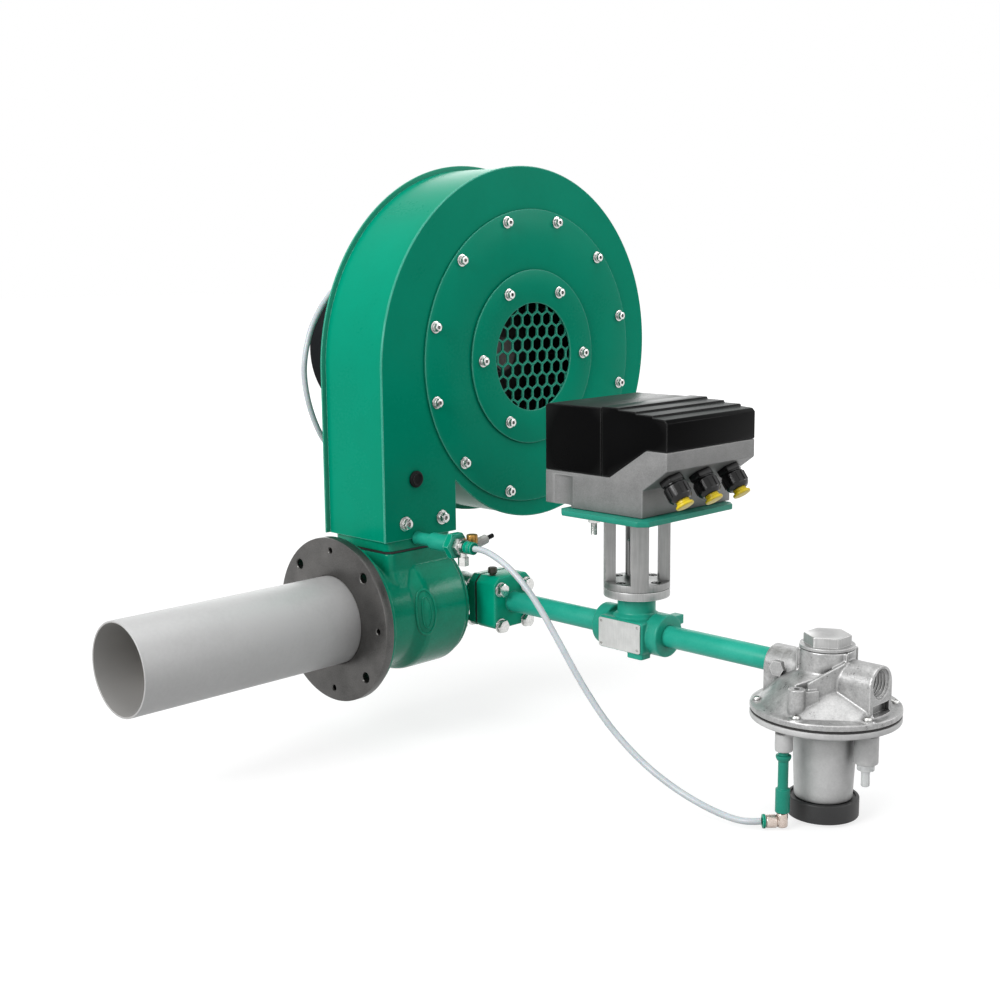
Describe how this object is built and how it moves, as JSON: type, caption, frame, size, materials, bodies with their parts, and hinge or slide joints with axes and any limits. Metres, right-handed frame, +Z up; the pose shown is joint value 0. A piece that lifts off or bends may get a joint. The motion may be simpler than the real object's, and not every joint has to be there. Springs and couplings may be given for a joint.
{
  "type": "industrial gas burner",
  "caption": "Forced-draught gas burner with a flame tube, scroll fan and motor, butterfly gas valve with actuator, and a gas pressure governor.",
  "frame": {"origin": "on the flame tube's axis, at the front face of the mounting flange", "axes": "+Z up, -X along the flame tube into the furnace, -Y along the gas train away from the burner, fan motor on the +Y side"},
  "size_m": [0.676, 0.7601, 0.581],
  "materials": {
    "green_paint": "gloss green enamel",
    "pale_green_paint": "satin green enamel, a little paler",
    "tube_metal": "matte grey heat-resistant steel",
    "dark_steel": "dark brushed steel",
    "zinc": "zinc plated",
    "cast_aluminium": "speckled grey die casting",
    "black_plastic": "matte black moulding",
    "motor_black": "dull black paint",
    "black_rubber": "black rubber",
    "white_hose": "smooth white plastic hose",
    "brass": "worn brass",
    "ceramic": "off-white ceramic",
    "clear_plastic": "milky clear plastic"
  },
  "bodies": {
    "root": {"flame_tube": "tube_metal", "mounting_flange": "dark_steel", "burner_body": "green_paint", "duct_gasket": "black_rubber", "duct_adapter": "green_paint", "fan_casing": "green_paint", "fan_back_plate": "green_paint", "inlet_cover": "green_paint", "inlet_ring": "green_paint", "inlet_guard": "green_paint", "motor_flange": "motor_black", "motor_housing": "motor_black", "motor_fan_cowl": "motor_black", "terminal_box": "motor_black", "casing_plug": "black_plastic", "rear_gas_housing": "green_paint", "gas_lance": "tube_metal", "swirl_plate": "dark_steel", "ignition_electrode": "ceramic", "flame_probe": "ceramic", "gas_block_gasket": "black_rubber", "gas_block": "green_paint", "gas_test_knob": "black_plastic", "gas_pipe_inner": "pale_green_paint", "gas_pipe_outer": "pale_green_paint", "valve_body": "pale_green_paint", "valve_plate": "zinc", "spacer_disc": "cast_aluminium", "valve_yoke": "cast_aluminium", "actuator_plate": "pale_green_paint", "actuator_base": "cast_aluminium", "actuator_cover_front": "black_plastic", "actuator_cover_rear": "black_plastic", "cable_gland_1": "black_plastic", "cable_gland_2": "black_plastic", "cable_gland_3": "black_plastic", "governor_body": "cast_aluminium", "governor_gasket": "black_rubber", "governor_bowl": "cast_aluminium", "spring_adjuster": "zinc", "governor_cap_ring": "black_plastic", "governor_hex_cap": "cast_aluminium", "governor_tap": "pale_green_paint", "governor_elbow": "brass", "breather_nipple": "clear_plastic", "tap_stub": "zinc", "tap_tee": "green_paint", "test_nipple": "zinc", "hose_push_in": "green_paint", "impulse_hose": "white_hose", "casing_hose": "white_hose", "casing_hose_fitting_upper": "zinc", "casing_hose_fitting_lower": "zinc"},
    "fan_rotor": {"impeller": "dark_steel", "motor_shaft": "zinc", "motor_cooling_fan": "black_plastic"},
    "butterfly": {"valve_butterfly": "zinc", "shaft_coupling": "zinc"},
    "diaphragm": {"governor_diaphragm": "black_rubber", "governor_spring": "zinc"}
  },
  "joints": [
    {"name": "fan_spin", "type": "hinge", "parent": "root", "child": "fan_rotor", "pos_m": [0.2448, 0, 0.25], "axis": [0, 1, 0], "continuous": true},
    {"name": "butterfly_turn", "type": "hinge", "parent": "root", "child": "butterfly", "pos_m": [0.1782, -0.246, 0], "axis": [0, 0, 1], "range_deg": [0, 90]},
    {"name": "diaphragm_lift", "type": "slide", "parent": "root", "child": "diaphragm", "axis": [0, 0, 1], "range_m": [0, 0.004], "deforming": ["governor_spring"]}
  ]
}
